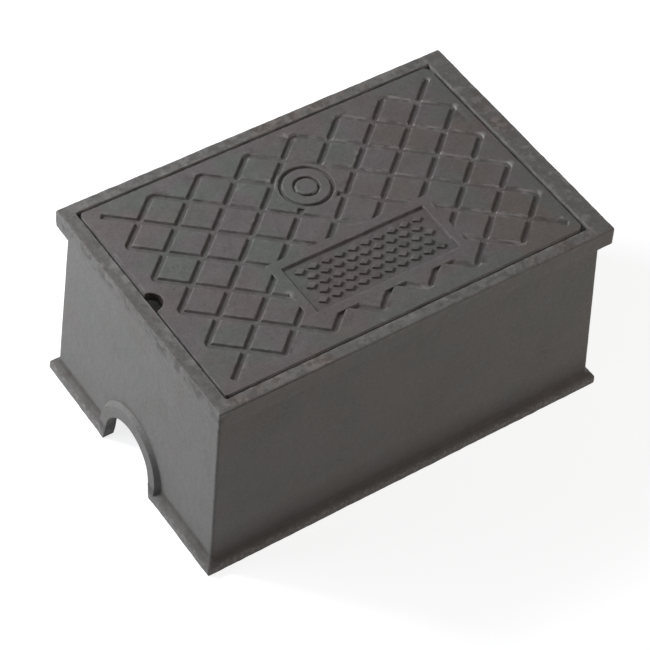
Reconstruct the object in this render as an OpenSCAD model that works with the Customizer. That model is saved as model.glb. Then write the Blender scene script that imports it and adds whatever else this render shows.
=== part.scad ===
// Cast-iron hose bib box: an open-bottomed valve box with a hinged, flush lid.
// Origin at the middle of the base, +X towards the hinge end, +Z up, millimetres.

/* [Overall size] */
// Length over the rim
rim_l = 330; // [290:1:420]
// Width over the rim
rim_w = 216; // [190:1:300]
// Height from the base to the top of the lid
box_h = 170; // [120:1:260]

/* [Rim] */
// Height of the rim's outer face
rim_h = 16; // [14:0.5:24]
// Width of the rim's top at the finger notch end
margin_notch = 11; // [9:0.5:16]
// Width of the rim's top at the hinge end
margin_hinge = 16; // [14:0.5:22]
// Width of the rim's top along each side
margin_side = 9.7; // [9:0.1:14]
// Radius of the rim's corners
rim_corner = 1.5; // [1:0.5:8]
// Rounding of the rim's top edge
rim_ease = 1.4; // [0.6:0.1:2.5]
// Height of the fillet under the rim
rim_toe = 2; // [0.5:0.1:3]
// Depth of the recess that the lid lies in
recess_d = 8; // [7:0.5:10]
// Width of the ledge under the lid
ledge_w = 8; // [6:0.5:10]
// Height of the slope that carries the ledge
ledge_slope = 6; // [3:0.5:10]

/* [Walls] */
// Thickness of the side and end walls
wall = 4.5; // [4:0.5:7]
// How far the rim stands out past the end walls
end_overhang = 5.2; // [4:0.1:7]
// How far the rim stands out past the side walls
side_overhang = 7.9; // [5:0.1:9]
// Outward draft of the walls, in degrees
draft = 2.8; // [0.5:0.1:4]
// Outer radius of the walls' upright corners
wall_corner = 2; // [1:0.5:9]

/* [Base flange] */
// How far the flange stands out past the walls
flange_out = 5; // [4:0.5:10]
// Height of the flange's outer face
flange_t = 8; // [5:0.5:12]
// Rise of the flange's top from its edge to the wall
flange_rise = 2.5; // [1:0.5:6]
// Height of the fillet between flange and wall
flange_toe = 3.5; // [1:0.5:8]
// Radius of the flange's corners
flange_corner = 1; // [1:0.5:12]

/* [Pipe arch] */
// Radius of the arch
arch_r = 29.5; // [15:0.5:45]
// Distance from the box's middle line to the arch's
arch_y = 1.2; // [-40:0.1:40]
// Height of the arch's centre above the base
arch_spring = 13; // [8:0.5:30]
// How far each leg splays out at the base
arch_splay = 2.8; // [0:0.1:5]
// Width of the collar round the arch
collar_w = 8; // [5:0.5:12]
// Slope of the collar's outer side, sideways run per height
collar_slope = 0.55; // [0.2:0.05:1]

/* [Lid] */
// Gap round the lid
lid_gap = 1.8; // [1:0.1:2.5]
// Gap at the lid's hinge end
hinge_gap = 2.6; // [2:0.1:3.5]
// Thickness of the lid's plate
plate_t = 5.5; // [5:0.5:6.5]
// Width of the thicker band round the lid's edge
band_w = 10; // [8:0.5:16]
// Radius of the lid's corners at the finger notch end
lid_corner = 3; // [1:0.5:6]
// Radius of the lid's corners at the hinge end
hinge_corner = 7; // [1:0.5:8]
// Rounding of the lid's top edge
lid_ease = 0.6; // [0.3:0.1:1.5]
// Height of the ribs under the lid
rib_h = 6; // [3:0.5:10]
// Thickness of the ribs under the lid
rib_t = 5; // [3:0.5:8]
// Radius of the finger notch
notch_r = 8.5; // [6:0.5:12]

/* [Lattice] */
// Length of one diamond of the lattice
cell_l = 39.8; // [30:0.1:40]
// Width of one diamond of the lattice
cell_w = 34.4; // [24:0.1:35]
// Number of diamonds along the lid
cells_l = 7; // [3:2:7]
// Number of diamonds across the lid
cells_w = 5; // [3:2:5]
// Width of a groove at its top
groove_w = 5.2; // [3:0.1:7]
// Width of a groove's floor
groove_floor = 3.2; // [1:0.1:3.4]
// Depth of the grooves
groove_d = 2; // [1:0.1:2.4]

/* [Panel and ring] */
// Length of the sunk panel
panel_l = 119.5; // [60:0.5:130]
// Width of the sunk panel
panel_w = 46; // [24:0.5:50]
// Depth of the sunk panel
panel_d = 2; // [1:0.1:2.4]
// Distance from the lid's middle line to the panel's
panel_y = 42.4; // [38:0.1:46]
// Plain margin left round the panel
panel_margin = 7.6; // [4:0.1:10]
// Length of each raised lozenge in the panel
stud_l = 8.6; // [5:0.1:9]
// Width of each raised lozenge in the panel
stud_w = 5.6; // [3:0.1:6]
// Distance between lozenges along the panel
stud_pitch_l = 11; // [9.5:0.1:14]
// Distance between rows of lozenges
stud_pitch_w = 7.4; // [6.4:0.1:9]
// Outer radius of the ring groove
ring_r = 20.5; // [14:0.5:22]
// Width of the ring groove
ring_w = 3.4; // [2:0.1:4]
// Distance from the lid's middle line to the ring's centre
ring_y = 38.2; // [34:0.1:42]

/* [Hinge] */
// Diameter of each hinge pin
pin_d = 6; // [5:0.5:7]
// Radial clearance of the pins in the lid
pin_fit = 0.05; // [0.02:0.01:0.1]
// Depth of the hinge axis below the lid's top
hinge_drop = 8; // [7:0.5:9]
// Least gap between the swinging lid and the rim
swing_clear = 0.6; // [0.4:0.1:0.8]
// Iron left round each pin in the lid's bosses
boss_wall = 2.5; // [2:0.1:4]
// Length of each boss on the lid
boss_l = 12.5; // [8:0.5:20]
// Length of each pin that is held in the rim
pin_hold = 7; // [5:0.5:8]

/* [Hidden] */
$fn = 64;
// How far a cut runs past what it cuts
over = 1;
// Gap between the lid and the ledge that it lies on
seat_gap = 0.2;
// Facets in each rounded corner of the outer skin
corner_steps = 4;
// Where the middle of a quarter round lies, as a share of its radius
arc_mid = 1 - cos(45);
// Chamfer of the flange's edges and of the rim's lower edge
edge_ease = 0.8;
// How far the cavity runs up past the ledge's top, and its corners' least radius
cavity_over = 0.5;
cavity_corner = 1;
// How far the ledge is rooted in the wall that carries it
ledge_root = 0.4 * wall;
// How much smaller the lid is at its underside, on each side
lid_taper = 0.5;
// Space left between the ribs and what they pass
rib_clear = 3;
// Sideways run per depth of the panel's and the rings' sides
side_slope = 0.4;
// How far the lozenges stop below the lid's top, and their distance from the panel's sides
stud_drop = 0.4;
stud_margin = 2.5;
// Plain margin round the ring, and the ring inside it
ring_margin = 2;
small_ring_r = ring_r / 2;
small_ring_w = 0.8 * ring_w;
// The relief for the lid's swing stays inside the end wall, and has some room beside the lid
relief_short = 0.1;
relief_side = 0.8;
// Each pin stops short of its boss's end and of its bore's bottom, and has chamfered ends
pin_inset = 0.2;
bore_spare = 0.5;
pin_tip = 0.8;

// Levels of the rim, the ledge and the lid
ledge_top = box_h - recess_d;
rim_bottom = box_h - rim_h;
lid_bottom = ledge_top + seat_gap;
plate_bottom = box_h - plate_t;

// Outlines of the recess and the lid
recess_x0 = -rim_l / 2 + margin_notch;
recess_x1 = rim_l / 2 - margin_hinge;
recess_y = rim_w / 2 - margin_side;
lid_x0 = recess_x0 + lid_gap;
lid_x1 = recess_x1 - hinge_gap;
lid_y = recess_y - lid_gap;
mouth_x0 = recess_x0 + ledge_w;
mouth_y = recess_y - ledge_w;

// Half length and half width of the walls' outside at height z
function wall_x(z) = rim_l / 2 - end_overhang + (rim_bottom - z) * tan(draft);
function wall_y(z) = rim_w / 2 - side_overhang + (rim_bottom - z) * tan(draft);

// The axis lies as far in from the lid's end as its swing needs to clear the rim
swing_gap = hinge_gap - swing_clear;
hinge_back = (pow(hinge_drop, 2) - pow(swing_gap, 2)) / (2 * swing_gap);
axis_x = lid_x1 - hinge_back;
axis_z = box_h - hinge_drop;
swing_r = norm([hinge_back, hinge_drop]);
relief_r = swing_r + swing_clear - relief_short;
relief_y = lid_y + relief_side;
boss_r = pin_d / 2 + boss_wall;
boss_y = lid_y - boss_l;
pin_y0 = boss_y + pin_inset;
pin_y1 = recess_y + pin_hold;

// Middle of the lattice, its half length and half width to the last crossings, and its angle
lattice_x = -0.5;
node_x = cells_l * cell_l / 2;
node_y = cells_w * cell_w / 2;
lattice_angle = atan2(cell_w, cell_l);
groove_slope = (groove_w - groove_floor) / 2 / groove_d;

// The lattice's points reach this far past the last crossings, and are rounded a little more
// than the radius that just touches the edges of both grooves
point_reach = 1.3;
point_spare = 1.08;
function point_r(a) = point_spare * (groove_w / 2 - point_reach * cos(a)) / (1 - cos(a));
side_point_r = point_r(lattice_angle);
end_point_r = point_r(90 - lattice_angle);

// One level of a loft: height, low x, high x, half width, corner radius
function level(z, x0, x1, y, r) = [z, x0, x1, y, r];
function wall_level(z, out, r) = level(z, -wall_x(z) - out, wall_x(z) + out, wall_y(z) + out, r);

// Points of a rounded rectangle, anticlockwise from above
function outline(l) = [
    for (corner = [0 : 3], k = [0 : corner_steps])
    let (
        a = 90 * corner + 90 * k / corner_steps,
        cx = (corner == 0 || corner == 3) ? l[2] - l[4] : l[1] + l[4],
        cy = (corner < 2) ? l[3] - l[4] : l[4] - l[3]
    )
    [cx + l[4] * cos(a), cy + l[4] * sin(a), l[0]]
];

// A closed solid through rounded rectangles, listed from the lowest up
module loft(levels) {
    n = 4 * (corner_steps + 1);
    top = (len(levels) - 1) * n;
    polyhedron(
        points = [for (l = levels) each outline(l)],
        faces = [
            [for (i = [0 : n - 1]) i],
            for (j = [0 : len(levels) - 2], i = [0 : n - 1])
                let (a = j * n + i, b = j * n + (i + 1) % n)
                [a, a + n, b + n, b],
            [for (i = [n - 1 : -1 : 0]) top + i]
        ]
    );
}

// A rectangle with corners of radius r0 at its low x end and r1 at its high x end
module rounded_plan(x0, x1, y, r0, r1) {
    half = (x1 - x0) / 2;
    translate([x0 + r0, -y]) square([x1 - x0 - r0 - r1, 2 * y]);
    translate([x0, r0 - y]) square([half, 2 * (y - r0)]);
    translate([x0 + half, r1 - y]) square([half, 2 * (y - r1)]);
    for (s = [-1, 1]) {
        translate([x0 + r0, s * (y - r0)]) circle(r0);
        translate([x1 - r1, s * (y - r1)]) circle(r1);
    }
}

module along_y(x, z, y0, y1, r) {
    translate([x, y0, z]) rotate([-90, 0, 0]) cylinder(h = y1 - y0, r = r);
}

// The whole outer skin, from the flange's foot up the walls and round the rim
module outside() {
    rise_z = flange_t + flange_rise;
    function rim_level(z, inset) =
        level(z, inset - rim_l / 2, rim_l / 2 - inset, rim_w / 2 - inset, rim_corner);
    loft([
        wall_level(0, flange_out - edge_ease, flange_corner),
        wall_level(edge_ease, flange_out, flange_corner),
        wall_level(flange_t - edge_ease, flange_out, flange_corner),
        wall_level(flange_t, flange_out - edge_ease, flange_corner),
        wall_level(rise_z, arc_mid * flange_toe, wall_corner),
        wall_level(rise_z + 0.4 * flange_toe, 0.1 * flange_toe, wall_corner),
        wall_level(rise_z + flange_toe, 0, wall_corner),
        wall_level(rim_bottom - rim_toe, 0, wall_corner),
        wall_level(rim_bottom, 0.7 * rim_toe, wall_corner),
        rim_level(rim_bottom, edge_ease),
        rim_level(rim_bottom + edge_ease, 0),
        rim_level(box_h - rim_ease, 0),
        rim_level(box_h - arc_mid * rim_ease, arc_mid * rim_ease),
        rim_level(box_h, rim_ease)
    ]);
}

// The flange carries on round the arch as a collar, narrowest at its outer face
module arch_collar() {
    face_x = -wall_x(0) - flange_out;
    deep = flange_out + wall;
    r_face = arch_r + collar_w;
    r_deep = r_face + collar_slope * deep;
    top_z = arch_spring + r_deep + over;
    intersection() {
        union() {
            translate([face_x, arch_y, arch_spring]) rotate([0, 90, 0])
                cylinder(h = deep, r1 = r_face, r2 = r_deep);
            linear_extrude(arch_spring) polygon([
                [face_x, arch_y - r_face], [face_x + deep, arch_y - r_deep],
                [face_x + deep, arch_y + r_deep], [face_x, arch_y + r_face]
            ]);
        }
        loft([
            wall_level(0, flange_out, flange_corner),
            wall_level(top_z, 0.7 * flange_out, flange_corner)
        ]);
    }
}

module arch_opening() {
    deep = 3 * (flange_out + wall);
    translate([-wall_x(0) - flange_out - over, arch_y, 0]) rotate([90, 0, 90])
    linear_extrude(deep) {
        translate([0, arch_spring]) circle(arch_r);
        polygon([
            [-arch_r, arch_spring], [-arch_r - arch_splay, -over],
            [arch_r + arch_splay, -over], [arch_r, arch_spring]
        ]);
    }
}

module cavity() {
    r = max(wall_corner - wall, cavity_corner);
    loft([wall_level(-over, -wall, r), wall_level(ledge_top + cavity_over, -wall, r)]);
}

// Section of the ledge with the slope that carries it, from a wall's inner face inwards
function ledge_section(inner, edge) = [
    [inner + ledge_root, rim_bottom - ledge_slope - ledge_root],
    [inner, rim_bottom - ledge_slope],
    [edge, rim_bottom],
    [edge, ledge_top + over],
    [inner + ledge_root, ledge_top + over]
];

// The ledge stops short of the hinge, and has a gap under the finger notch
module ledge() {
    end_x = wall_x(rim_bottom) - wall;
    side_y = wall_y(rim_bottom) - wall;
    for (m = [0, 1])
        mirror([0, m, 0]) {
            translate([-end_x - ledge_root, 0, 0]) rotate([90, 0, 90])
                linear_extrude(end_x + ledge_root + axis_x) polygon(ledge_section(side_y, mouth_y));
            translate([0, 2 * notch_r, 0]) rotate([90, 0, 180])
                linear_extrude(side_y + ledge_root - 2 * notch_r) polygon(ledge_section(end_x, -mouth_x0));
        }
}

module recess() {
    translate([0, 0, ledge_top]) linear_extrude(recess_d + over)
        rounded_plan(recess_x0, recess_x1, recess_y, lid_corner / 2, lid_corner / 2);
}

module box_body() {
    color("#5c5a59") difference() {
        union() {
            difference() {
                union() {
                    outside();
                    arch_collar();
                }
                cavity();
            }
            ledge();
        }
        recess();
        arch_opening();
        along_y(axis_x, axis_z, -relief_y, relief_y, relief_r);
        for (m = [0, 1])
            mirror([0, m, 0]) along_y(axis_x, axis_z, lid_y, pin_y1 + bore_spare, pin_d / 2);
    }
}

// Plate with an eased top edge: the plan cut by one profile each way
module lid_blank() {
    function profile(a, b) = [
        [a + lid_taper, lid_bottom], [b - lid_taper, lid_bottom],
        [b, box_h - lid_ease], [b - lid_ease, box_h],
        [a + lid_ease, box_h], [a, box_h - lid_ease]
    ];
    intersection() {
        linear_extrude(box_h + over) rounded_plan(lid_x0, lid_x1, lid_y, lid_corner, hinge_corner);
        translate([0, rim_w / 2, 0]) rotate([90, 0, 0])
            linear_extrude(rim_w) polygon(profile(lid_x0, lid_x1));
        translate([-rim_l / 2, 0, 0]) rotate([90, 0, 90])
            linear_extrude(rim_l) polygon(profile(-lid_y, lid_y));
    }
}

// Ribs under the plate, kept inside the mouth of the box
module lid_ribs() {
    rib_z = plate_bottom - rib_h;
    x0 = mouth_x0 + rib_clear;
    x1 = axis_x - boss_r - rib_clear;
    y = mouth_y - rib_clear;
    for (s = [-1, 1])
        translate([x0, s * y / 3 - rib_t / 2, rib_z]) cube([x1 - x0, rib_t, rib_h + over]);
    for (k = [0 : 3])
        translate([x0 + k * (x1 - x0 - rib_t) / 3, -y, rib_z]) cube([rib_t, 2 * y, rib_h + over]);
}

module groove(length) {
    top = groove_w / 2 + groove_slope * over;
    translate([-length / 2, 0, box_h]) rotate([90, 0, 90]) linear_extrude(length) polygon([
        [-groove_floor / 2, -groove_d], [groove_floor / 2, -groove_d], [top, over], [-top, over]
    ]);
}

// A round stretch of the edge of the lattice's field, as steep as the grooves' sides
module field_point(x, y, r) {
    low = groove_d + seat_gap;
    translate([x, y, box_h - low])
        cylinder(h = low + over, r1 = max(r - groove_slope * low, seat_gap), r2 = r + groove_slope * over);
}

// All that the grooves may cut: their field with its round points and corners
module lattice_field() {
    edge_x = node_x + point_reach - end_point_r * (1 - sin(lattice_angle));
    edge_y = node_y + point_reach - side_point_r * (1 - cos(lattice_angle));
    corner = 0.8 * side_point_r;
    corner_in = side_point_r - point_reach;
    translate([0, 0, box_h - groove_d - over]) linear_extrude(groove_d + 2 * over) {
        square([2 * edge_x, 2 * (edge_y - corner)], center = true);
        square([2 * (edge_x - corner), 2 * edge_y], center = true);
    }
    for (s = [-1, 1]) {
        for (i = [1 : cells_l - 1])
            field_point((i - cells_l / 2) * cell_l, s * (node_y + point_reach - side_point_r), side_point_r);
        for (j = [1 : cells_w - 1])
            field_point(s * (node_x + point_reach - end_point_r), (j - cells_w / 2) * cell_w, end_point_r);
        for (t = [-1, 1])
            field_point(
                s * (node_x - corner_in * cos(lattice_angle)),
                t * (node_y - corner_in * sin(lattice_angle)),
                side_point_r
            );
    }
}

// Crossing grooves over the whole field, which stop short of the panel and the ring
module lattice() {
    last = (cells_l + cells_w) / 2 - 1;
    reach = 2 * (node_x + node_y);
    intersection() {
        translate([lattice_x, 0, 0]) for (k = [-last : last], s = [-1, 1])
            translate([k * cell_l, 0, 0]) rotate(s * lattice_angle) groove(reach);
        difference() {
            translate([lattice_x, 0, 0]) lattice_field();
            translate([0, 0, box_h - groove_d - 2 * over]) linear_extrude(groove_d + 4 * over) {
                translate([0, -panel_y])
                    square([panel_l + 2 * panel_margin, panel_w + 2 * panel_margin], center = true);
                translate([lattice_x, ring_y]) circle(ring_r + ring_margin);
            }
        }
    }
}

// Raised lozenges in staggered rows on the panel's floor
module panel_studs() {
    rows = floor((panel_w - stud_w - 2 * stud_margin) / stud_pitch_w);
    columns = floor((panel_l - stud_l - 2 * stud_margin) / stud_pitch_l);
    for (j = [0 : rows]) {
        count = columns - j % 2;
        for (i = [0 : count])
            translate([(i - count / 2) * stud_pitch_l, (j - rows / 2) * stud_pitch_w])
                polygon([[-stud_l / 2, 0], [0, -stud_w / 2], [stud_l / 2, 0], [0, stud_w / 2]]);
    }
}

module panel() {
    function profile(size) = [
        [-size / 2 + side_slope * panel_d, -panel_d], [size / 2 - side_slope * panel_d, -panel_d],
        [size / 2 + side_slope * over, over], [-size / 2 - side_slope * over, over]
    ];
    translate([0, -panel_y, box_h]) difference() {
        intersection() {
            translate([0, panel_w, 0]) rotate([90, 0, 0])
                linear_extrude(2 * panel_w) polygon(profile(panel_l));
            translate([-panel_l, 0, 0]) rotate([90, 0, 90])
                linear_extrude(2 * panel_l) polygon(profile(panel_w));
        }
        translate([0, 0, -panel_d - over]) linear_extrude(panel_d + over - stud_drop) panel_studs();
    }
}

module ring_groove(r_out, w) {
    translate([lattice_x, ring_y, box_h]) rotate_extrude() polygon([
        [r_out - w + side_slope * groove_d, -groove_d], [r_out - side_slope * groove_d, -groove_d],
        [r_out + side_slope * over, over], [r_out - w - side_slope * over, over]
    ]);
}

module lid() {
    color("#656162") difference() {
        union() {
            difference() {
                lid_blank();
                translate([0, 0, lid_bottom - over]) linear_extrude(plate_bottom - lid_bottom + over)
                    rounded_plan(lid_x0 + band_w, lid_x1 - band_w, lid_y - band_w, lid_corner, lid_corner);
            }
            lid_ribs();
            for (y = [-lid_y, boss_y]) {
                along_y(axis_x, axis_z, y, y + boss_l, boss_r);
                translate([axis_x - boss_r, y, axis_z]) cube([2 * boss_r, boss_l, plate_bottom - axis_z + over]);
            }
        }
        lattice();
        panel();
        ring_groove(ring_r, ring_w);
        ring_groove(small_ring_r, small_ring_w);
        translate([lid_x0, 0, lid_bottom - over]) cylinder(h = recess_d + 2 * over, r = notch_r);
        for (s = [-1, 1])
            along_y(axis_x, axis_z, s < 0 ? -lid_y - over : boss_y - 2 * boss_l,
                s < 0 ? -boss_y + 2 * boss_l : lid_y + over, pin_d / 2 + pin_fit);
    }
}

// Plain steel pin with chamfered ends, pressed into the rim
module hinge_pin(s) {
    length = pin_y1 - pin_y0;
    r = pin_d / 2;
    color("#8a8a88") translate([axis_x, s * pin_y0, axis_z]) rotate([-90 * s, 0, 0]) rotate_extrude()
        polygon([
            [0, 0], [r - pin_tip, 0], [r, pin_tip],
            [r, length - pin_tip], [r - pin_tip, length], [0, length]
        ]);
}

module hinge_pin_front() {
    hinge_pin(-1);
}

module hinge_pin_back() {
    hinge_pin(1);
}

box_body();
lid();
hinge_pin_front();
hinge_pin_back();
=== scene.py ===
"""Looks for the cast-iron hose bib box: rounded sand castings, dull coating, plain studio and camera."""

from math import pi, radians

import bpy
import numpy as np
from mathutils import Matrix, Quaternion, Vector


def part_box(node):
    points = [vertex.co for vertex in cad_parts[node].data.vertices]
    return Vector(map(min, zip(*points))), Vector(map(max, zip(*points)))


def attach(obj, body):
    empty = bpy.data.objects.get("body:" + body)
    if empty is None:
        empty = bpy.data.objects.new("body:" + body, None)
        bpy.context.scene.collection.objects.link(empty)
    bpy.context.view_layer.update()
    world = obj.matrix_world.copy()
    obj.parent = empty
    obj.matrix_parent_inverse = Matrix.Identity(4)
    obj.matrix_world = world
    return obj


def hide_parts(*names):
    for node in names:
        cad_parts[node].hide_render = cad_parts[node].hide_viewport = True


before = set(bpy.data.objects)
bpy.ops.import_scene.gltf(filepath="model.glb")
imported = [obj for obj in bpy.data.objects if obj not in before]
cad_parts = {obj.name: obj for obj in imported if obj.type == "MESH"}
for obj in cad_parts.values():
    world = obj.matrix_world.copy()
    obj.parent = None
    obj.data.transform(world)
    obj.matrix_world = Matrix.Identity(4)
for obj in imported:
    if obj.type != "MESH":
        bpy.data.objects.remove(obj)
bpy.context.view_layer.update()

MM = 0.001


# The point inside the box that the lamps face.
LIT_POINT = Vector((0, 0, 0.1))

# The lattice of grooves, as the part's source has it.
CELL_LENGTH = 39.8 * MM
CELL_WIDTH = 34.4 * MM
LATTICE_X = -0.5 * MM

# How far the sunk panel and its edge reach along X and Y.
PANEL_X = (-60.8 * MM, 60.8 * MM)
PANEL_Y = (-66 * MM, -19 * MM)

bl_info = {
    "name": "Hose Bib Box",
    "version": (1, 0, 0),
    "blender": (4, 5, 0),
    "location": "3D View > Sidebar > Hose Box",
    "description": "Finishes a cast-iron hose bib box and sets up its studio",
    "category": "Object",
}


class CastingShape(bpy.types.PropertyGroup):
    """How the sand mould rounded and roughened the two castings."""

    edge_round: bpy.props.FloatProperty(
        name="Edge rounding", description="Rounding of the plain edges of both castings",
        subtype="DISTANCE", unit="LENGTH", min=0, max=0.001, default=0.35 * MM)
    top_round: bpy.props.FloatProperty(
        name="Top rounding", description="Rounding of the edges round the grooves, the panel and the gap",
        subtype="DISTANCE", unit="LENGTH", min=0, max=0.001, default=0.5 * MM)
    cell: bpy.props.FloatProperty(
        name="Cell", description="Size of the cells that the skin is cut into, so that it can be uneven",
        subtype="DISTANCE", unit="LENGTH", min=0.002, default=2.5 * MM)
    wall_cell: bpy.props.FloatProperty(
        name="Wall cell", description="Height of the cells on the plain walls",
        subtype="DISTANCE", unit="LENGTH", min=0.002, default=6 * MM)
    swell: bpy.props.FloatProperty(
        name="Swell", description="How far the broad unevenness of the castings reaches in and out",
        subtype="DISTANCE", unit="LENGTH", min=0, max=0.002, default=0.22 * MM)
    chatter: bpy.props.FloatProperty(
        name="Chatter", description="How far the small unevenness of the castings reaches in and out",
        subtype="DISTANCE", unit="LENGTH", min=0, max=0.002, default=0.3 * MM)
    wall_share: bpy.props.FloatProperty(
        name="Wall share", description="How much of the unevenness the plain walls get",
        subtype="FACTOR", min=0, max=1, default=0.35)


class CastingFinish(bpy.types.PropertyGroup):
    """Colours and roughness of the coated iron."""

    # The box's coating is the iron's dull coating painted lighter than the lid's, standing in for more
    # light on its walls.
    box_color: bpy.props.FloatVectorProperty(
        name="Box coating and painted light", description="Colour of the dull coating on the box",
        subtype="COLOR", size=3, min=0, max=1, default=(0.118, 0.116, 0.115))
    lid_color: bpy.props.FloatVectorProperty(
        name="Lid coating", description="Colour of the dull coating on the lid",
        subtype="COLOR", size=3, min=0, max=1, default=(0.104, 0.094, 0.098))
    green_color: bpy.props.FloatVectorProperty(
        name="Weathered coating", description="Colour of the patches where the coating has weathered",
        subtype="COLOR", size=3, min=0, max=1, default=(0.091, 0.100, 0.095))
    brown_color: bpy.props.FloatVectorProperty(
        name="Rust bloom", description="Colour of the patches with a bloom of rust",
        subtype="COLOR", size=3, min=0, max=1, default=(0.100, 0.084, 0.078))
    # Pale dust, also laid as painted highlights on edges and at the lattice's ends, and as painted light in
    # the shaded gap round the lid.
    dust_and_light_color: bpy.props.FloatVectorProperty(
        name="Dust and painted light", description="Colour of the pale dust on raised and handled places",
        subtype="COLOR", size=3, min=0, max=1, default=(0.26, 0.25, 0.25))
    # Dark dirt in pits and cracks, also laid as painted shade in corners, creases, grooves and the finger
    # notch, along the lid's lip, at the hinge end and up the front foot.
    dirt_and_shade_color: bpy.props.FloatVectorProperty(
        name="Dark dirt and painted shade", description="Colour of the dark dirt in low places",
        subtype="COLOR", size=3, min=0, max=1, default=(0.030, 0.024, 0.023))
    roughness: bpy.props.FloatProperty(
        name="Roughness", description="Roughness of the coating", min=0, max=1, default=0.66)
    grain_depth: bpy.props.FloatProperty(
        name="Grain depth", description="Depth of the sand grain that the mould left in the iron",
        subtype="DISTANCE", unit="LENGTH", min=0, max=0.002, default=0.35 * MM)


class StudioSettings(bpy.types.PropertyGroup):
    """Camera and light."""

    azimuth: bpy.props.FloatProperty(
        name="Azimuth", description="Direction of the camera round the box",
        subtype="ANGLE", unit="ROTATION", default=radians(-37.55))
    elevation: bpy.props.FloatProperty(
        name="Elevation", description="Height of the camera over the box, as an angle",
        subtype="ANGLE", unit="ROTATION", default=radians(48.62))
    roll: bpy.props.FloatProperty(
        name="Roll", description="Turn of the camera about its own axis",
        subtype="ANGLE", unit="ROTATION", default=radians(5.01))
    distance: bpy.props.FloatProperty(
        name="Distance", description="From the camera to the point it looks at",
        subtype="DISTANCE", unit="LENGTH", min=0.1, default=1.7532)
    look_at: bpy.props.FloatVectorProperty(
        name="Look at", description="Point in the middle of the picture",
        subtype="TRANSLATION", unit="LENGTH", size=3, default=(-0.02455, -0.0289, 0.1))
    lens: bpy.props.FloatProperty(
        name="Lens", description="Focal length on a 36 mm sensor, in millimetres", min=10, default=136.16)
    key_strength: bpy.props.FloatProperty(
        name="Key light", description="Strength of the lamp over the far left corner", min=0, default=2.84)
    end_strength: bpy.props.FloatProperty(
        name="End light", description="Strength of the low lamp beyond the arch end", min=0, default=1.72)
    fill_strength: bpy.props.FloatProperty(
        name="Fill light", description="Strength of the weak lamp on the front side", min=0, default=1.18)
    sky_strength: bpy.props.FloatProperty(
        name="Sky light", description="Strength of the even light from all round", min=0, default=0.14)


def casting_shape():
    return bpy.context.scene.hose_box_shape


def casting_finish():
    return bpy.context.scene.hose_box_finish


def studio_settings():
    return bpy.context.scene.hose_box_studio


def merged_copy(node_name, name):
    """A copy of a CAD node's mesh with its loose triangles merged into whole flat faces."""
    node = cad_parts[node_name]
    piece = bpy.data.objects.new(name, node.data.copy())
    bpy.context.scene.collection.objects.link(piece)
    bpy.ops.object.select_all(action="DESELECT")
    piece.select_set(True)
    bpy.context.view_layer.objects.active = piece
    bpy.ops.object.mode_set(mode="EDIT")
    bpy.ops.mesh.select_all(action="SELECT")
    bpy.ops.mesh.remove_doubles(threshold=0.001 * MM)
    bpy.ops.mesh.dissolve_limited(angle_limit=radians(0.5))
    bpy.ops.mesh.select_all(action="SELECT")
    bpy.ops.mesh.remove_doubles(threshold=0.15 * MM)
    bpy.ops.object.mode_set(mode="OBJECT")
    return piece


def merge_close(piece, above, gap):
    """Merges what lies closer together than the gap, in the part of a mesh above a height."""
    bpy.ops.object.mode_set(mode="EDIT")
    bpy.ops.mesh.select_mode(type="VERT")
    bpy.ops.mesh.select_all(action="DESELECT")
    bpy.ops.object.mode_set(mode="OBJECT")
    for vertex in piece.data.vertices:
        vertex.select = vertex.co.z > above
    bpy.ops.object.mode_set(mode="EDIT")
    bpy.ops.mesh.remove_doubles(threshold=gap)
    bpy.ops.object.mode_set(mode="OBJECT")


def sharp_edges(mesh, least):
    """Numbers of the edges whose two faces meet at an angle of at least the one given."""
    sides = {}
    for face in mesh.polygons:
        for key in face.edge_keys:
            sides.setdefault(key, []).append(face.normal)
    found = []
    for edge in mesh.edges:
        pair = sides.get(edge.key, ())
        if len(pair) == 2 and pair[0].angle(pair[1], 0) > least:
            found.append(edge.index)
    return found


def round_edges(piece, width, wide_height, wide):
    """Rounds the sharp edges, those that lie at one height by a width of their own."""
    mesh = piece.data
    weights = mesh.attributes.new("bevel_weight_edge", "FLOAT", "EDGE")
    most = max(width, wide)
    for index in sharp_edges(mesh, least=radians(28)):
        ends = [mesh.vertices[v].co.z for v in mesh.edges[index].vertices]
        level = all(abs(z - wide_height) < 0.01 * MM for z in ends)
        weights.data[index].value = (wide if level else width) / most
    bpy.ops.object.modifier_add(type="BEVEL")
    bevel = piece.modifiers[-1]
    bevel.width = most
    bevel.segments = 2
    bevel.limit_method = "WEIGHT"
    bevel.use_clamp_overlap = False
    bevel.loop_slide = False
    bpy.ops.object.modifier_apply(modifier=bevel.name)


def places(low, high, step):
    count = max(1, round((high - low) / step))
    return [low + (i + 0.5) * (high - low) / count for i in range(count)]


def cut_into_cells(piece, across):
    """Cuts the skin by planes across X, Y and Z, without changing its form."""
    bpy.ops.object.mode_set(mode="EDIT")
    for axis, cuts in enumerate(across):
        normal = [float(axis == i) for i in range(3)]
        for place in cuts:
            bpy.ops.mesh.select_all(action="SELECT")
            bpy.ops.mesh.bisect(plane_co=[place * n for n in normal], plane_no=normal, threshold=0.1 * MM)
    bpy.ops.object.mode_set(mode="OBJECT")


def roughen(piece, name, size, depth, group):
    """Moves the skin in and out by soft noise of one size."""
    noise = bpy.data.textures.new(name, "CLOUDS")
    noise.noise_scale = size
    noise.noise_depth = 2
    bpy.ops.object.modifier_add(type="DISPLACE")
    uneven = piece.modifiers[-1]
    uneven.texture = noise
    uneven.texture_coords = "LOCAL"
    uneven.strength = 2 * depth
    uneven.mid_level = 0.5
    uneven.vertex_group = group
    bpy.ops.object.modifier_apply(modifier=uneven.name)


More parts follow.
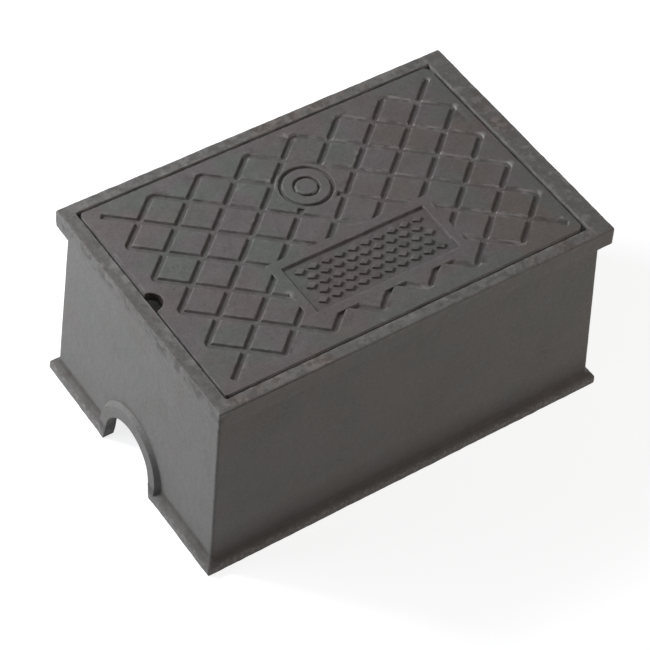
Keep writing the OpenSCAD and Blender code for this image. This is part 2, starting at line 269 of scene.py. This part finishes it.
def free_skin(piece, freedom):
    """A vertex group that says how uneven each place may be: what seats or turns stays true."""
    group = piece.vertex_groups.new(name="free_skin")
    for vertex in piece.data.vertices:
        group.add([vertex.index], freedom(vertex.co), "REPLACE")
    return group.name


def keep_inside(piece, node_name):
    """Brings what stands out of the CAD node's box back to its faces."""
    low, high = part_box(node_name)
    for vertex in piece.data.vertices:
        vertex.co = [min(max(c, a), b) for c, a, b in zip(vertex.co, low, high)]


def mark_relief(piece):
    """Stores how far each point stands out from the skin near it, and from the skin farther round it."""
    mesh = piece.data
    count = len(mesh.vertices)
    places_now = np.empty(3 * count)
    normals = np.empty(3 * count)
    ends = np.empty(2 * len(mesh.edges), dtype=int)
    mesh.vertices.foreach_get("co", places_now)
    mesh.vertex_normals.foreach_get("vector", normals)
    mesh.edges.foreach_get("vertices", ends)
    places_now, normals = places_now.reshape(-1, 3), normals.reshape(-1, 3)
    a, b = ends.reshape(-1, 2).T
    links = np.maximum(np.bincount(ends, minlength=count), 1)

    def calmed(values):
        near = [np.bincount(a, column[b], count) + np.bincount(b, column[a], count) for column in values.T]
        return 0.5 * values + 0.5 * np.stack(near, axis=1) / links[:, None]

    for name, rounds in (("stand_out", 2), ("hollow", 9)):
        calm = places_now
        for _ in range(rounds):
            calm = calmed(calm)
        height = ((places_now - calm) * normals).sum(axis=1, keepdims=True) / MM
        layer = mesh.attributes.new(name, "FLOAT", "POINT")
        layer.data.foreach_set("value", calmed(height)[:, 0])


def shade(piece):
    bpy.ops.object.shade_smooth_by_angle(angle=radians(50))
    bpy.ops.object.modifier_add(type="WEIGHTED_NORMAL")
    weighted = piece.modifiers[-1]
    weighted.keep_sharp = True
    bpy.ops.object.modifier_apply(modifier=weighted.name)


def cast_skin(piece, node_name, freedom):
    """Makes the skin uneven where it is free to be, inside the CAD node's box, and smooths its shading."""
    form = casting_shape()
    group = free_skin(piece, freedom)
    roughen(piece, "Swell", size=40 * MM, depth=form.swell, group=group)
    roughen(piece, "Chatter", size=6 * MM, depth=form.chatter, group=group)
    keep_inside(piece, node_name)
    mark_relief(piece)
    shade(piece)


def put_on(piece, body, node_name, material):
    piece.data.materials.clear()
    piece.data.materials.append(material)
    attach(piece, body)
    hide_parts(node_name)


class NodeBuilder:
    """Adds shader nodes from left to right and links them by their sockets' names or numbers."""

    column_width = 180

    # Numbers of the Mix node's colour sockets, which share their names with its other sockets.
    first_color, second_color, mixed_color = 6, 7, 2

    def __init__(self, tree):
        self.tree = tree
        self.column = 0

    def add(self, kind, inputs=(), **settings):
        node = self.tree.nodes.new(kind)
        node.location = (self.column * self.column_width, 0)
        self.column += 1
        for name, value in settings.items():
            setattr(node, name, value)
        for key, value in dict(inputs).items():
            self.feed(node.inputs[key], value)
        return node

    def feed(self, target, value):
        if isinstance(value, bpy.types.NodeSocket):
            self.tree.links.new(value, target)
        else:
            target.default_value = value

    def band(self, value, low, high, to_low=0.0, to_high=1.0):
        """A value taken from one span to another, held at both ends."""
        return self.add("ShaderNodeMapRange", {
            "Value": value, "From Min": low, "From Max": high,
            "To Min": to_low, "To Max": to_high}).outputs[0]

    def maths(self, operation, a, b=0.0, c=0.0):
        return self.add("ShaderNodeMath", {0: a, 1: b, 2: c}, operation=operation).outputs[0]

    def between(self, value, low, high, soft):
        """1 from low to high, falling to 0 over a soft width on both sides."""
        return self.product(self.band(value, low - soft, low), self.band(value, high + soft, high))

    def product(self, first, *others):
        for other in others:
            first = self.maths("MULTIPLY", first, other)
        return first

    def most(self, first, *others):
        for other in others:
            first = self.maths("MAXIMUM", first, other)
        return first

    def spot(self, place, centre, radius):
        """1 close to a point, falling to 0 at a radius round it."""
        far = self.add("ShaderNodeVectorMath", {0: place, 1: centre}, operation="DISTANCE").outputs["Value"]
        return self.band(far, radius, 0.5 * radius)

    def blend(self, amount, a, b):
        """Colour b over colour a by an amount."""
        mix = self.add("ShaderNodeMix", {0: amount}, data_type="RGBA")
        self.feed(mix.inputs[self.first_color], a)
        self.feed(mix.inputs[self.second_color], b)
        return mix.outputs[self.mixed_color]

    def noise(self, place, scale, detail=3.0, roughness=0.5):
        return self.add("ShaderNodeTexNoise", {
            "Vector": place, "Scale": scale, "Detail": detail, "Roughness": roughness}).outputs["Fac"]


def socket(group, name, side, kind, default=None):
    made = group.interface.new_socket(name=name, in_out=side, socket_type="NodeSocket" + kind)
    if default is not None:
        made.default_value = default
    return made


def sand_skin_group():
    """Height of the sand-cast skin: grain, small lumps and a few pits."""
    group = bpy.data.node_groups.new("Sand Cast Skin", "ShaderNodeTree")
    socket(group, "Pits", "INPUT", "Float", 1.0)
    socket(group, "Height", "OUTPUT", "Float")
    socket(group, "Pitted", "OUTPUT", "Float")
    build = NodeBuilder(group)
    source = build.add("NodeGroupInput")
    place = build.add("ShaderNodeTexCoord").outputs["Object"]
    lumps = build.noise(place, 190.0, 3.0)
    grain = build.noise(place, 620.0, 4.0)
    cells = build.add("ShaderNodeTexVoronoi", {"Vector": place, "Scale": 260.0})
    some = build.band(build.noise(place, 45.0), 0.54, 0.66)
    pit = build.band(cells.outputs["Distance"], 0.35, 0.10)
    pitted = build.product(pit, some, source.outputs["Pits"])
    rough = build.maths("MULTIPLY_ADD", grain, 0.5, lumps)
    height = build.maths("MULTIPLY_ADD", pitted, -0.5, rough)
    result = build.add("NodeGroupOutput")
    build.feed(result.inputs["Height"], height)
    build.feed(result.inputs["Pitted"], pitted)
    return group


def patches_group():
    """Soft patches of three coating colours, a mottle and fine speckle over them and thin dark cracks."""
    group = bpy.data.node_groups.new("Coating Patches", "ShaderNodeTree")
    for name in ("Coating", "Weathered", "Rust Bloom"):
        socket(group, name, "INPUT", "Color")
    socket(group, "Weathering", "INPUT", "Float", 0.5)
    socket(group, "Bloom", "INPUT", "Float", 0.5)
    socket(group, "Contrast", "INPUT", "Float", 0.1)
    socket(group, "Color", "OUTPUT", "Color")
    socket(group, "Mottle", "OUTPUT", "Float")
    socket(group, "Cracks", "OUTPUT", "Float")
    build = NodeBuilder(group)
    source = build.add("NodeGroupInput")
    place = build.add("ShaderNodeTexCoord").outputs["Object"]
    shifted = build.add("ShaderNodeMapping", {"Vector": place, "Location": (0.31, 0.17, 0.05)}).outputs[0]
    weathered = build.band(build.noise(place, 24.0, 2.0), 0.47, 0.58)
    bloom = build.band(build.noise(shifted, 20.0, 2.0), 0.48, 0.62)
    mottle = build.noise(place, 85.0, 5.0, 0.62)
    first = build.blend(
        build.product(weathered, source.outputs["Weathering"]),
        source.outputs["Coating"], source.outputs["Weathered"])
    second = build.blend(build.product(bloom, source.outputs["Bloom"]), first, source.outputs["Rust Bloom"])
    speckle = build.band(build.noise(place, 520.0, 3.0, 0.6), 0.3, 0.7, -0.9, 0.9)
    swing = build.product(
        build.maths("ADD", build.band(mottle, 0.3, 0.7, -1.0, 1.0), speckle), source.outputs["Contrast"])
    shade_of = build.add("ShaderNodeHueSaturation", {
        "Color": second, "Value": build.maths("ADD", swing, 1.0)}).outputs[0]
    vein = build.maths("ABSOLUTE", build.maths("SUBTRACT", build.noise(shifted, 60.0, 4.0, 0.6), 0.5))
    where = build.band(build.noise(shifted, 33.0, 2.0), 0.56, 0.66)
    cracks = build.product(build.band(vein, 0.016, 0.004), where)
    result = build.add("NodeGroupOutput")
    build.feed(result.inputs["Color"], shade_of)
    build.feed(result.inputs["Mottle"], mottle)
    build.feed(result.inputs["Cracks"], cracks)
    return group


def relief_group():
    """Masks of the edges that stand out, laid as dust and painted highlights, and of the corners that lie
    back, laid as painted shade, from the stored attributes.
    """
    group = bpy.data.node_groups.new("Edges And Corners", "ShaderNodeTree")
    for name in ("Edges", "Pale Edge Patches", "Corners"):
        socket(group, name, "OUTPUT", "Float")
    build = NodeBuilder(group)
    place = build.add("ShaderNodeTexCoord").outputs["Object"]
    stand = build.add("ShaderNodeAttribute", attribute_name="stand_out").outputs["Fac"]
    hollow = build.add("ShaderNodeAttribute", attribute_name="hollow").outputs["Fac"]
    edge = build.band(stand, 0.02, 0.12)
    broken = build.band(build.noise(place, 160.0, 4.0), 0.40, 0.62)
    sparse = build.band(build.noise(place, 38.0, 3.0), 0.60, 0.68)
    result = build.add("NodeGroupOutput")
    build.feed(result.inputs["Edges"], build.product(edge, broken))
    build.feed(result.inputs["Pale Edge Patches"], build.product(edge, sparse))
    build.feed(result.inputs["Corners"], build.band(hollow, -0.04, -0.45))
    return group


def coated_iron(name, coating, weathering, bloom, contrast, pits, marks_of):
    """Dull black coating over cast iron, with the bloom, the dark dirt and painted shade, and the dust and
    painted light that marks_of gives.
    """
    look = casting_finish()
    skin, patches, relief = shared_groups()
    material = bpy.data.materials.new(name)
    material.use_nodes = True
    build = NodeBuilder(material.node_tree)
    shader = material.node_tree.nodes["Principled BSDF"]
    cast = build.add("ShaderNodeGroup", node_tree=skin)
    cast.inputs["Pits"].default_value = pits
    coat = build.add("ShaderNodeGroup", node_tree=patches)
    coat.inputs["Coating"].default_value = (*coating, 1)
    coat.inputs["Weathered"].default_value = (*look.green_color, 1)
    coat.inputs["Rust Bloom"].default_value = (*look.brown_color, 1)
    coat.inputs["Weathering"].default_value = weathering
    coat.inputs["Contrast"].default_value = contrast
    edges_and_corners = build.add("ShaderNodeGroup", node_tree=relief).outputs
    more_bloom, dark, pale = marks_of(build, edges_and_corners["Edges"])
    build.feed(coat.inputs["Bloom"], build.maths("ADD", more_bloom, bloom))
    # The dust colour also lays painted highlights and painted light, and the dark dirt colour also lays
    # painted shade.
    dust = (*look.dust_and_light_color, 1)
    dirt_and_shade = (*look.dirt_and_shade_color, 1)
    color = coat.outputs["Color"]
    # Edges take dust and painted highlights, corners painted shade, pits and cracks dark dirt, then the
    # dark and pale masks of marks_of.
    for mask, strength, laid_over in (
            (edges_and_corners["Edges"], 0.28, dust),
            (edges_and_corners["Corners"], 0.45, dirt_and_shade),
            (cast.outputs["Pitted"], 0.25, dirt_and_shade),
            (coat.outputs["Cracks"], 0.2, dirt_and_shade),
            (dark, 1.0, dirt_and_shade),
            (edges_and_corners["Pale Edge Patches"], 0.55, dust),
            (pale, 1.0, dust)):
        color = build.blend(build.product(mask, strength), color, laid_over)
    bump = build.add("ShaderNodeBump", {
        "Height": cast.outputs["Height"], "Distance": look.grain_depth, "Strength": 1.0})
    build.feed(shader.inputs["Base Color"], color)
    build.feed(shader.inputs["Normal"], bump.outputs["Normal"])
    build.feed(shader.inputs["Roughness"], build.band(
        coat.outputs["Mottle"], 0.3, 0.7, look.roughness - 0.08, look.roughness + 0.08))
    shader.inputs["Specular IOR Level"].default_value = 0.3
    return material


def position(build):
    """The point that is shaded, whole and as its distances along X, Y and Z."""
    place = build.add("ShaderNodeTexCoord").outputs["Object"]
    x, y, z = build.add("ShaderNodeSeparateXYZ", {0: place}).outputs
    return place, x, y, z


def past_lid(build, x, y):
    """How far a point lies past the lid's ends and past its long sides, less than 0 on the lid."""
    low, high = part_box("lid")
    middle = 0.5 * (low + high)
    return [
        build.maths("SUBTRACT", build.maths("ABSOLUTE", build.maths("SUBTRACT", value, centre)), reach)
        for value, centre, reach in ((x, middle.x, high.x - middle.x), (y, middle.y, high.y - middle.y))]


def foot_shade(build, x, y, z, uneven):
    """Painted shade up the front side's foot, where the box's own shadow lies on the floor beside it, and
    painted shade in the crease between the walls and the flange.
    """
    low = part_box("box_body")[0]
    # Painted shade up the front foot, standing in for the box's shadow on the floor in front of it.
    front_foot_shade = build.product(
        build.band(z, 38 * MM, 12 * MM), build.band(z, 6 * MM, 10 * MM, 0.3, 1.0),
        build.band(y, low.y + 12 * MM, low.y + 4 * MM), 0.85)
    # Painted shade in the crease where the walls meet the flange, wider at the arch end.
    crease = build.product(
        build.between(z, 10.5 * MM, 12 * MM, 2 * MM), build.band(uneven, 0.35, 0.65, 0.35, 0.85))
    arch_end_crease = build.product(
        build.between(z, 9 * MM, 13 * MM, 4 * MM), build.band(x, low.x + 14 * MM, low.x + 10 * MM),
        build.band(uneven, 0.35, 0.6, 0.4, 0.75))
    return build.most(front_foot_shade, crease, arch_end_crease)


def rim_dirt_and_shade(build, x, y, z, small, on_top):
    """Blotches over the rim's edge at the arch end, painted shade darkening the hinge end, a dark line
    along the front edge and a mottle.
    """
    low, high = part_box("box_body")
    lid_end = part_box("lid")[1].x
    blotches = build.product(
        build.band(z, high.z - 13 * MM, high.z - 7 * MM), build.band(x, low.x + 16 * MM, low.x + 10 * MM),
        build.band(small, 0.44, 0.6, 0.05, 0.65))
    # Painted shade: the rim's top is darker towards the hinge end.
    hinge_end = build.product(on_top, build.band(x, lid_end + 2 * MM, lid_end + 6 * MM), 0.22)
    front_edge = build.product(
        build.band(y, low.y + 5.7 * MM, low.y + 5.2 * MM),
        build.between(z, high.z - 1 * MM, high.z, 0.6 * MM),
        build.band(x, -50 * MM, -110 * MM, 0.15, 0.7),
        build.band(small, 0.4, 0.55, 0.4, 1.0))
    mottled = build.product(on_top, build.band(small, 0.5, 0.38, 0.0, 0.35))
    return build.most(blotches, hinge_end, front_edge, mottled)


def recess_light_and_dust(build, place, x, y, z, uneven):
    """Painted light on the tops of the walls of the gap round the lid, lifting their shade, and dust on the
    box below the finger notch.
    """
    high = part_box("box_body")[1]
    lid_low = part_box("lid")[0]
    past_end, past_side = past_lid(build, x, y)
    # Painted light: the upper walls of the gap are made paler than their shade lets them look.
    gap = build.product(
        build.band(past_side, 2.2 * MM, 1.9 * MM),
        build.band(past_end, 3 * MM, 2.6 * MM),
        build.between(z, high.z - 8 * MM, high.z - 0.5 * MM, 0.3 * MM),
        build.band(uneven, 0.4, 0.6, 0.5, 1.0))
    below_notch = build.product(
        build.spot(place, (lid_low.x + 5 * MM, 0, high.z - 14 * MM), 22 * MM),
        build.band(x, lid_low.x - 4 * MM, lid_low.x - 2 * MM), 0.9)
    return build.most(gap, below_notch)


def box_marks(build, edges):
    """Rust bloom, dark dirt and painted shade, and pale dust and painted light on the box. The mask of its
    edges isn't needed for them.
    """
    place, x, y, z = position(build)
    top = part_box("box_body")[1].z
    uneven = build.noise(place, 60.0, 4.0, 0.6)
    small = build.noise(place, 130.0, 4.0, 0.6)
    grit = build.noise(place, 330.0, 3.0, 0.6)
    on_top = build.band(z, top - 1.2 * MM, top - 0.6 * MM)
    bloom = build.product(on_top, build.band(uneven, 0.45, 0.55, 0.0, 0.8))
    dark = build.most(foot_shade(build, x, y, z, uneven), rim_dirt_and_shade(build, x, y, z, small, on_top))
    rubbed_rim = build.product(
        on_top, build.band(small, 0.5, 0.6), build.band(uneven, 0.44, 0.56, 0.06, 0.32))
    flange_specks = build.product(build.band(z, 8.5 * MM, 7.5 * MM), build.band(grit, 0.48, 0.6), 0.35)
    pale = build.most(recess_light_and_dust(build, place, x, y, z, uneven), rubbed_rim, flange_specks)
    return bloom, dark, pale


def groove_marks(build, place, x, y, z, edges):
    """Painted shade on the grooves' sides, and pale dashes along the grooves in one direction, stronger
    towards the hinge.
    """
    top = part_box("lid")[1].z
    along = build.maths("MULTIPLY_ADD", x, 1 / CELL_LENGTH, -LATTICE_X / CELL_LENGTH)
    row = build.maths("MULTIPLY_ADD", y, 1 / CELL_WIDTH, along)
    off_row = build.maths("ABSOLUTE", build.maths("SUBTRACT", row, build.maths("ROUND", row)))
    dashed_rows = build.product(build.band(off_row, 0.13, 0.1), build.band(x, -110 * MM, 50 * MM, 0.1, 1.0))
    slope = build.between(z, top - 1.6 * MM, top - 0.6 * MM, 0.4 * MM)
    # Painted shade on the grooves' sloping sides, weaker in the rows of pale dashes.
    dark = build.product(
        slope, build.band(dashed_rows, 0.0, 1.0, 1.0, 0.25),
        build.band(build.noise(place, 95.0, 3.0), 0.42, 0.58, 0.2, 0.7))
    on_panel = build.product(build.between(x, *PANEL_X, 1 * MM), build.between(y, *PANEL_Y, 1 * MM))
    dashes = build.product(
        dashed_rows, build.maths("SUBTRACT", 1.0, on_panel), build.most(slope, edges),
        build.band(build.noise(place, 75.0, 3.0), 0.40, 0.58, 0.2, 1.0))
    return dark, dashes


def notch_shade(build, place, z):
    """Painted shade down the wall of the finger notch."""
    low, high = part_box("lid")
    level = build.add("ShaderNodeVectorMath", {0: place, 1: (1, 1, 0)}, operation="MULTIPLY").outputs[0]
    far = build.add("ShaderNodeVectorMath", {0: level, 1: (low.x, 0, 0)}, operation="DISTANCE")
    return build.product(
        build.band(far.outputs["Value"], 9.6 * MM, 9.1 * MM),
        build.band(z, high.z - 0.1 * MM, high.z - 0.5 * MM))


def chalk_and_tip_highlights(build, place):
    """Painted highlights at the lattice's tips by the hinge, where their rounded ends face the light, a
    speck in the corner and a smear by the panel.
    """
    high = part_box("lid")[1]
    # Painted highlights where the rounded ends of the lattice by the hinge face the light.
    tips = [
        build.spot(place, (high.x - 6.3 * MM, row * CELL_WIDTH, high.z), 3 * MM)
        for row in (-1.5, -0.5, 0.5, 1.5)]
    speck = build.spot(place, (138.5 * MM, -79.8 * MM, high.z), 2 * MM)
    smear = build.spot(place, (-67.6 * MM, -41.8 * MM, high.z), 4 * MM)
    return build.product(build.most(*tips, speck, smear), 0.45)


def lid_marks(build, edges):
    """Rust bloom, painted shade, and pale marks and painted light on the lid."""
    place, x, y, z = position(build)
    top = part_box("lid")[1].z
    uneven = build.noise(place, 60.0, 4.0, 0.6)
    past_end, past_side = past_lid(build, x, y)
    on_side = build.most(*(build.band(past, -0.5 * MM, -0.3 * MM) for past in (past_side, past_end)))
    on_lip = build.most(*(build.band(past, -1.1 * MM, -0.7 * MM) for past in (past_side, past_end)))
    # Painted light on the lid's sides below the top, lifting the shade in the gap.
    gap = build.product(
        on_side, build.band(z, top - 0.4 * MM, top - 0.8 * MM), build.band(uneven, 0.4, 0.6, 0.5, 1.0))
    # Painted shade along the lid's rounded lip beside the gap.
    lip = build.product(on_lip, build.band(z, top - 0.8 * MM, top - 0.5 * MM), 0.5)
    # Painted shade, darker towards the hinge end.
    near_hinge = build.band(x, 20 * MM, 140 * MM, 0.0, 0.12)
    groove_shade, dashes = groove_marks(build, place, x, y, z, edges)
    bloom = build.band(x, 40 * MM, 130 * MM, 0.0, 0.35)
    dark = build.maths(
        "MINIMUM", build.most(groove_shade, notch_shade(build, place, z), lip, near_hinge), 0.96)
    return bloom, dark, build.most(gap, dashes, chalk_and_tip_highlights(build, place))


def turned_steel():
    material = bpy.data.materials.new("Turned Steel")
    material.use_nodes = True
    build = NodeBuilder(material.node_tree)
    shader = material.node_tree.nodes["Principled BSDF"]
    place = build.add("ShaderNodeTexCoord").outputs["Object"]
    along = build.add("ShaderNodeMapping", {"Vector": place, "Scale": (0.2, 1.0, 0.2)}).outputs[0]
    lines = build.noise(along, 2200.0, 2.0)
    oil = build.noise(place, 300.0, 4.0)
    color = build.blend(build.band(oil, 0.45, 0.7), (0.42, 0.41, 0.40, 1), (0.20, 0.18, 0.16, 1))
    bump = build.add("ShaderNodeBump", {"Height": lines, "Distance": 0.03 * MM, "Strength": 1.0})
    build.feed(shader.inputs["Base Color"], color)
    build.feed(shader.inputs["Normal"], bump.outputs["Normal"])
    build.feed(shader.inputs["Roughness"], build.band(oil, 0.3, 0.7, 0.3, 0.5))
    shader.inputs["Metallic"].default_value = 1.0
    return material


def shared_groups():
    """The shader groups that both castings use, made once."""
    names = ("Sand Cast Skin", "Coating Patches", "Edges And Corners")
    makers = (sand_skin_group, patches_group, relief_group)
    return [bpy.data.node_groups.get(name) or make() for name, make in zip(names, makers)]


class HOSEBOX_OT_box(bpy.types.Operator):
    """Round and roughen the box's casting and coat it"""

    bl_idname = "hose_box.box"
    bl_label = "Box casting"

    def execute(self, context):
        form, look = casting_shape(), casting_finish()
        low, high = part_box("box_body")
        lid_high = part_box("lid")[1]
        wall_foot = 18 * MM
        wall_top = high.z - 18 * MM
        piece = merged_copy("box_body", "box_casting")
        round_edges(piece, form.edge_round, wide_height=high.z, wide=form.top_round)
        cut_into_cells(piece, (
            places(low.x, high.x, form.cell),
            places(low.y, high.y, form.cell),
            places(0, wall_foot, form.cell)
            + places(wall_foot, wall_top, form.wall_cell)
            + places(wall_top, high.z, form.cell)))

        def freedom(co):
            level_with_ledge = high.z - 12 * MM < co.z < high.z - 4 * MM
            near_recess = level_with_ledge and abs(co.y) < lid_high.y + 3 * MM
            if near_recess or co.z < 0.1 * MM:
                return 0.0
            return form.wall_share if wall_foot < co.z < wall_top else 1.0

        cast_skin(piece, "box_body", freedom)
        iron = coated_iron(
            "Box Iron", look.box_color, weathering=0.25, bloom=0.2, contrast=0.11, pits=0.6,
            marks_of=box_marks)
        put_on(piece, "box", "box_body", iron)
        return {"FINISHED"}


class HOSEBOX_OT_lid(bpy.types.Operator):
    """Round and roughen the lid's casting and coat it"""

    bl_idname = "hose_box.lid"
    bl_label = "Lid casting"

    def execute(self, context):
        form, look = casting_shape(), casting_finish()
        low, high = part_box("lid")
        below_grooves = high.z - 2.6 * MM
        free_above = high.z - 5 * MM
        piece = merged_copy("lid", "lid_casting")
        merge_close(piece, above=below_grooves, gap=0.7 * MM)
        round_edges(piece, form.edge_round, wide_height=high.z, wide=form.top_round)
        cut_into_cells(piece, (
            places(low.x, high.x, form.cell), places(low.y, high.y, form.cell), []))
        cast_skin(piece, "lid", lambda co: float(co.z > free_above))
        iron = coated_iron(
            "Lid Iron", look.lid_color, weathering=0.8, bloom=0.45, contrast=0.13, pits=0.8,
            marks_of=lid_marks)
        put_on(piece, "lid", "lid", iron)
        return {"FINISHED"}


class HOSEBOX_OT_pins(bpy.types.Operator):
    """Finish the hinge pins in turned steel"""

    bl_idname = "hose_box.pins"
    bl_label = "Hinge pins"

    def execute(self, context):
        steel = turned_steel()
        for name in ("hinge_pin_front", "hinge_pin_back"):
            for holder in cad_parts[name].material_slots:
                holder.material = steel
        return {"FINISHED"}


def direction(azimuth, elevation):
    """Unit vector from the box towards the camera."""
    turn = Quaternion((0, 0, 1), azimuth)
    lift = Quaternion((1, 0, 0), -elevation)
    return (turn @ lift) @ Vector((0, -1, 0))


def add_camera(look):
    data = bpy.data.cameras.new("Camera")
    data.lens = look.lens
    data.sensor_width = 36.0
    data.clip_start = 0.05
    camera = bpy.data.objects.new("Camera", data)
    bpy.context.scene.collection.objects.link(camera)
    back = direction(look.azimuth, look.elevation)
    camera.location = Vector(look.look_at) + back * look.distance
    camera.rotation_mode = "QUATERNION"
    camera.rotation_quaternion = back.to_track_quat("Z", "Y") @ Quaternion((0, 0, 1), look.roll)
    bpy.context.scene.camera = camera


def add_softbox(name, towards, distance, size, strength, color=(1, 1, 1)):
    """A square lamp that faces the lit point, its strength as the light it gives there."""
    towards = towards.normalized()
    data = bpy.data.lights.new(name, "AREA")
    data.size = size
    data.energy = strength * distance ** 2 * pi
    data.color = color
    lamp = bpy.data.objects.new(name, data)
    bpy.context.scene.collection.objects.link(lamp)
    lamp.location = LIT_POINT + towards * distance
    lamp.rotation_mode = "QUATERNION"
    lamp.rotation_quaternion = towards.to_track_quat("Z", "Y")


def seen_by_eye(build):
    """1 for the rays that the viewer sees directly, in a reflection or through glass."""
    rays = build.add("ShaderNodeLightPath").outputs
    return build.most(rays["Is Camera Ray"], rays["Is Glossy Ray"], rays["Is Transmission Ray"])


def add_world(strength):
    world = bpy.data.worlds.new("Studio")
    world.use_nodes = True
    bpy.context.scene.world = world
    build = NodeBuilder(world.node_tree)
    back = world.node_tree.nodes["Background"]
    build.feed(back.inputs["Strength"], build.band(seen_by_eye(build), 0.0, 1.0, strength, 1.0))
    back.inputs["Color"].default_value = (1, 1, 1, 1)


def add_floor():
    """A floor that the viewer sees pale with a faint shadow, and that lights the box as a grey one does."""
    bpy.ops.object.select_all(action="DESELECT")
    bpy.ops.mesh.primitive_circle_add(vertices=96, radius=6, fill_type="NGON", location=(0, 0, 0))
    floor = bpy.context.active_object
    floor.name = "floor"
    material = bpy.data.materials.new("Studio Floor")
    material.use_nodes = True
    tree = material.node_tree
    build = NodeBuilder(tree)
    tree.nodes.clear()
    matt = build.add("ShaderNodeBsdfDiffuse", {"Color": (0.38, 0.40, 0.42, 1)})
    bounce = build.add("ShaderNodeBsdfDiffuse", {"Color": (0.4, 0.4, 0.4, 1)})
    place = build.add("ShaderNodeTexCoord").outputs["Object"]
    far = build.add("ShaderNodeVectorMath", {0: place}, operation="LENGTH").outputs["Value"]
    glow = build.add("ShaderNodeEmission", {"Strength": build.band(far, 0.5, 1.3, 0.82, 1.0)})
    pale = build.add("ShaderNodeAddShader")
    tree.links.new(matt.outputs[0], pale.inputs[0])
    tree.links.new(glow.outputs[0], pale.inputs[1])
    mix = build.add("ShaderNodeMixShader", {0: seen_by_eye(build)})
    tree.links.new(bounce.outputs[0], mix.inputs[1])
    tree.links.new(pale.outputs[0], mix.inputs[2])
    out = build.add("ShaderNodeOutputMaterial")
    tree.links.new(mix.outputs[0], out.inputs["Surface"])
    floor.data.materials.append(material)


class HOSEBOX_OT_studio(bpy.types.Operator):
    """Set up the floor, the light and the camera"""

    bl_idname = "hose_box.studio"
    bl_label = "Studio"

    def execute(self, context):
        look = studio_settings()
        context.scene.view_settings.view_transform = "Standard"
        add_camera(look)
        add_softbox(
            "Key", Vector((-0.51, 0.59, 0.63)), distance=1.4, size=0.4, strength=look.key_strength)
        add_softbox(
            "End", Vector((-0.87, 0.45, 0.21)), distance=0.95, size=0.6, strength=look.end_strength,
            color=(0.98, 0.99, 1))
        add_softbox(
            "Fill", Vector((0.60, -0.75, 0.35)), distance=1.3, size=1.1, strength=look.fill_strength,
            color=(1, 0.86, 0.76))
        add_world(look.sky_strength)
        add_floor()
        return {"FINISHED"}


class HOSEBOX_PT_panel(bpy.types.Panel):
    """Steps that finish the hose bib box"""

    bl_idname = "HOSEBOX_PT_panel"
    bl_label = "Hose Bib Box"
    bl_space_type = "VIEW_3D"
    bl_region_type = "UI"
    bl_category = "Hose Box"

    def draw(self, context):
        for step in STEPS:
            self.layout.operator(step.bl_idname)
        for owner in (casting_shape(), casting_finish(), studio_settings()):
            for name in owner.__annotations__:
                self.layout.prop(owner, name)


STEPS = (HOSEBOX_OT_box, HOSEBOX_OT_lid, HOSEBOX_OT_pins, HOSEBOX_OT_studio)
CLASSES = (CastingShape, CastingFinish, StudioSettings, *STEPS, HOSEBOX_PT_panel)


def register():
    for cls in CLASSES:
        bpy.utils.register_class(cls)
    bpy.types.Scene.hose_box_shape = bpy.props.PointerProperty(type=CastingShape)
    bpy.types.Scene.hose_box_finish = bpy.props.PointerProperty(type=CastingFinish)
    bpy.types.Scene.hose_box_studio = bpy.props.PointerProperty(type=StudioSettings)


def unregister():
    del bpy.types.Scene.hose_box_studio
    del bpy.types.Scene.hose_box_finish
    del bpy.types.Scene.hose_box_shape
    for cls in reversed(CLASSES):
        bpy.utils.unregister_class(cls)


def main():
    register()
    for step in STEPS:
        area, name = step.bl_idname.split(".")
        getattr(getattr(bpy.ops, area), name)()


if __name__ == "__main__":
    main()
